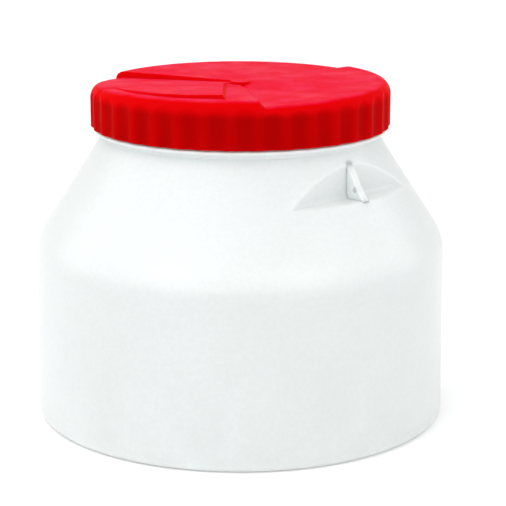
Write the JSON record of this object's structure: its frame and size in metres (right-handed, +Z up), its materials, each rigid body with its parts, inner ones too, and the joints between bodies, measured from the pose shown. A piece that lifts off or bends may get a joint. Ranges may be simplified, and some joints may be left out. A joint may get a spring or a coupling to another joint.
{
  "type": "disinfectant jar",
  "caption": "Squat wide-neck plastic jar with a conical shoulder and a fluted screw lid, for keeping or soaking tools in disinfectant.",
  "frame": {"origin": "centre of the ring that the jar stands on, at the level of the surface it stands on", "axes": "+Z up along the jar's axis; -Y is the jar's front, where the lid's deepest step is, and +X is to the right seen from the front"},
  "size_m": [0.242, 0.242, 0.1997],
  "materials": {
    "jar_plastic": "satin white polyethylene",
    "lid_plastic": "satin red polyethylene",
    "gasket_rubber": "matt pale grey foam rubber"
  },
  "bodies": {
    "jar": {"jar_body": "jar_plastic"},
    "seal": {"lid_gasket": "gasket_rubber"},
    "lid": {"screw_lid": "lid_plastic"}
  },
  "joints": [
    {"name": "lid_rise", "type": "slide", "parent": "jar", "child": "seal", "axis": [0, 0, 1], "range_m": [0, 0.0241]},
    {"name": "lid_turn", "type": "hinge", "parent": "seal", "child": "lid", "pos_m": [0, 0, 0.18], "axis": [0, 0, 1], "range_deg": [0, 1080]}
  ],
  "couplings": [
    {"joint": "lid_rise", "follows": "lid_turn", "m_per_rad": 0.0012732}
  ]
}
